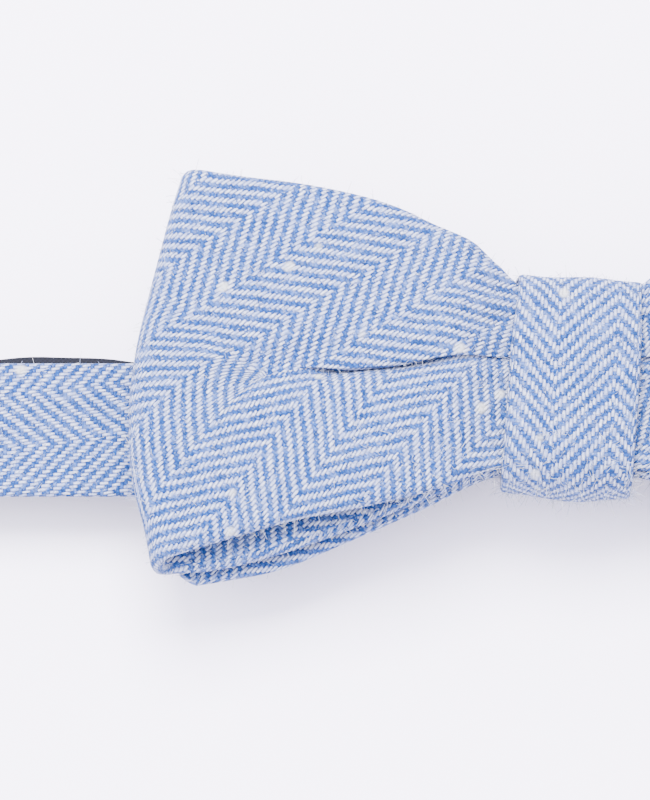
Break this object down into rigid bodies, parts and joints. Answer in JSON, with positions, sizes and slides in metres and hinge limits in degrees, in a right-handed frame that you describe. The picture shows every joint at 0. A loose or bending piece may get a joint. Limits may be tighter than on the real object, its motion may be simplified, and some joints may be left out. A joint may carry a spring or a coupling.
{
  "type": "bow tie",
  "caption": "Ready-tied bow tie in herringbone wool: folded bow, wrapped knot and a lined neckband that closes with a hook, an eye and a slide adjuster.",
  "frame": {"origin": "on the surface the tie lies on, below the middle of the whole tie's outline, near the knot", "axes": "+X along the bow and band, +Y up the height of the bow as worn, +Z out of the bow's front"},
  "size_m": [0.2178, 0.059, 0.0213],
  "materials": {
    "herringbone": "brushed herringbone wool in light blue and off-white",
    "lining": "plain dark navy lining",
    "stiffener": "undyed woven interlining",
    "thread": "light blue sewing thread",
    "metal": "bright nickel-plated pressed metal"
  },
  "bodies": {
    "bow": {"front_loop_shell": "herringbone", "front_loop_interlining": "stiffener", "rear_strip_shell": "herringbone", "rear_strip_interlining": "stiffener", "gather_thread": "thread", "knot_cover": "herringbone", "knot_interlining": "stiffener", "knot_stitches": "thread", "band_cover": "herringbone", "band_interlining": "stiffener", "band_lining": "lining", "left_fold": "herringbone", "right_fold": "herringbone"},
    "left_tail": {"left_tail_cover": "herringbone", "left_tail_interlining": "stiffener", "left_tail_lining": "lining", "left_end_loop": "herringbone", "left_bar_tack": "thread"},
    "eye": {"eye_ring": "metal"},
    "right_tail": {"right_tail_cover": "herringbone", "right_tail_interlining": "stiffener", "right_tail_lining": "lining", "feed_leg": "herringbone"},
    "hook_carrier": {"hook_loop": "herringbone", "return_leg": "herringbone"},
    "hook": {"clasp_hook": "metal"},
    "slider": {"slider_frame": "metal", "slider_end_loop": "herringbone", "slider_bar_tack": "thread"}
  },
  "joints": [
    {"name": "left_fold_bend", "type": "hinge", "parent": "bow", "child": "left_tail", "pos_m": [-0.109, -0.005, 0.00505], "axis": [0, 1, 0], "range_deg": [0, 180], "deforming": ["left_fold"]},
    {"name": "right_fold_bend", "type": "hinge", "parent": "bow", "child": "right_tail", "pos_m": [0.1084, -0.0054, 0.00565], "axis": [-0.0393, -0.9992, 0], "range_deg": [0, 180], "deforming": ["right_fold"]},
    {"name": "eye_pivot", "type": "hinge", "parent": "left_tail", "child": "eye", "pos_m": [-0.012, 0.0016, 0.0017], "axis": [0, 1, 0], "range_deg": [0, 100]},
    {"name": "hook_slide", "type": "slide", "parent": "right_tail", "child": "hook_carrier", "axis": [0.9969, -0.0785, 0], "range_m": [0, 0.032], "deforming": ["feed_leg", "return_leg"]},
    {"name": "hook_pivot", "type": "hinge", "parent": "hook_carrier", "child": "hook", "pos_m": [0.01577, 0.00154, 0.004], "axis": [-0.0785, -0.9969, 0], "range_deg": [0, 100]},
    {"name": "adjuster_slide", "type": "slide", "parent": "hook_carrier", "child": "slider", "axis": [0.9969, -0.0785, 0], "range_m": [0, 0.032]}
  ],
  "couplings": [
    {"joint": "adjuster_slide", "follows": "hook_slide", "ratio": 1}
  ]
}
